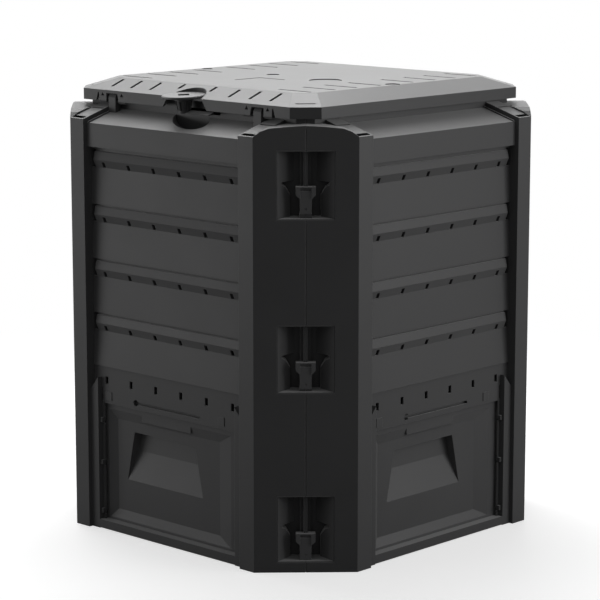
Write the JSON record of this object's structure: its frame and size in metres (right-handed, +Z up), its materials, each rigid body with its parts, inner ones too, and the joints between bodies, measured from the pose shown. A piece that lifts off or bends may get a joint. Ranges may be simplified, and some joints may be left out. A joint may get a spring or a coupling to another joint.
{
  "type": "garden compost bin",
  "caption": "Square louvred compost bin with clipped corner walls, pull-up hatches low in each side and a hinged lid with a turning latch.",
  "frame": {"origin": "middle of the base, on the ground", "axes": "+Z up, -Y is the front with the lid's latch, +X to the right of it"},
  "size_m": [0.719, 0.719, 0.826],
  "materials": {
    "wall_plastic": "fine-textured moulded plastic",
    "hatch_plastic": "fine-textured moulded plastic",
    "clip_plastic": "fine-textured moulded plastic",
    "lid_plastic": "fine-textured moulded plastic",
    "latch_plastic": "fine-textured moulded plastic",
    "pin_plastic": "fine-textured moulded plastic"
  },
  "bodies": {
    "bin": {"wall_front": "wall_plastic", "wall_right": "wall_plastic", "wall_back": "wall_plastic", "wall_left": "wall_plastic", "clip_front_right_low": "clip_plastic", "clip_front_right_mid": "clip_plastic", "clip_front_right_top": "clip_plastic", "clip_back_right_low": "clip_plastic", "clip_back_right_mid": "clip_plastic", "clip_back_right_top": "clip_plastic", "clip_back_left_low": "clip_plastic", "clip_back_left_mid": "clip_plastic", "clip_back_left_top": "clip_plastic", "clip_front_left_low": "clip_plastic", "clip_front_left_mid": "clip_plastic", "clip_front_left_top": "clip_plastic", "pin_front_left": "pin_plastic", "pin_front_right": "pin_plastic", "pin_back_left": "pin_plastic", "pin_back_right": "pin_plastic"},
    "lid": {"lid": "lid_plastic"},
    "latch": {"latch_disc": "latch_plastic", "latch_barrel": "latch_plastic"},
    "hatch_front_body": {"hatch_front": "hatch_plastic"},
    "hatch_right_body": {"hatch_right": "hatch_plastic"},
    "hatch_back_body": {"hatch_back": "hatch_plastic"},
    "hatch_left_body": {"hatch_left": "hatch_plastic"}
  },
  "joints": [
    {"name": "lid_hinge", "type": "hinge", "parent": "bin", "child": "lid", "pos_m": [0, 0.294, 0.7885], "axis": [-1, 0, 0], "range_deg": [0, 110]},
    {"name": "latch_turn", "type": "hinge", "parent": "lid", "child": "latch", "pos_m": [0.005, -0.3015, 0.81], "axis": [0, -0.0523, 0.9986], "range_deg": [0, 90]},
    {"name": "hatch_front_slide", "type": "slide", "parent": "bin", "child": "hatch_front_body", "axis": [0, 0, 1], "range_m": [0, 0.19]},
    {"name": "hatch_right_slide", "type": "slide", "parent": "bin", "child": "hatch_right_body", "axis": [0, 0, 1], "range_m": [0, 0.19]},
    {"name": "hatch_back_slide", "type": "slide", "parent": "bin", "child": "hatch_back_body", "axis": [0, 0, 1], "range_m": [0, 0.19]},
    {"name": "hatch_left_slide", "type": "slide", "parent": "bin", "child": "hatch_left_body", "axis": [0, 0, 1], "range_m": [0, 0.19]}
  ]
}
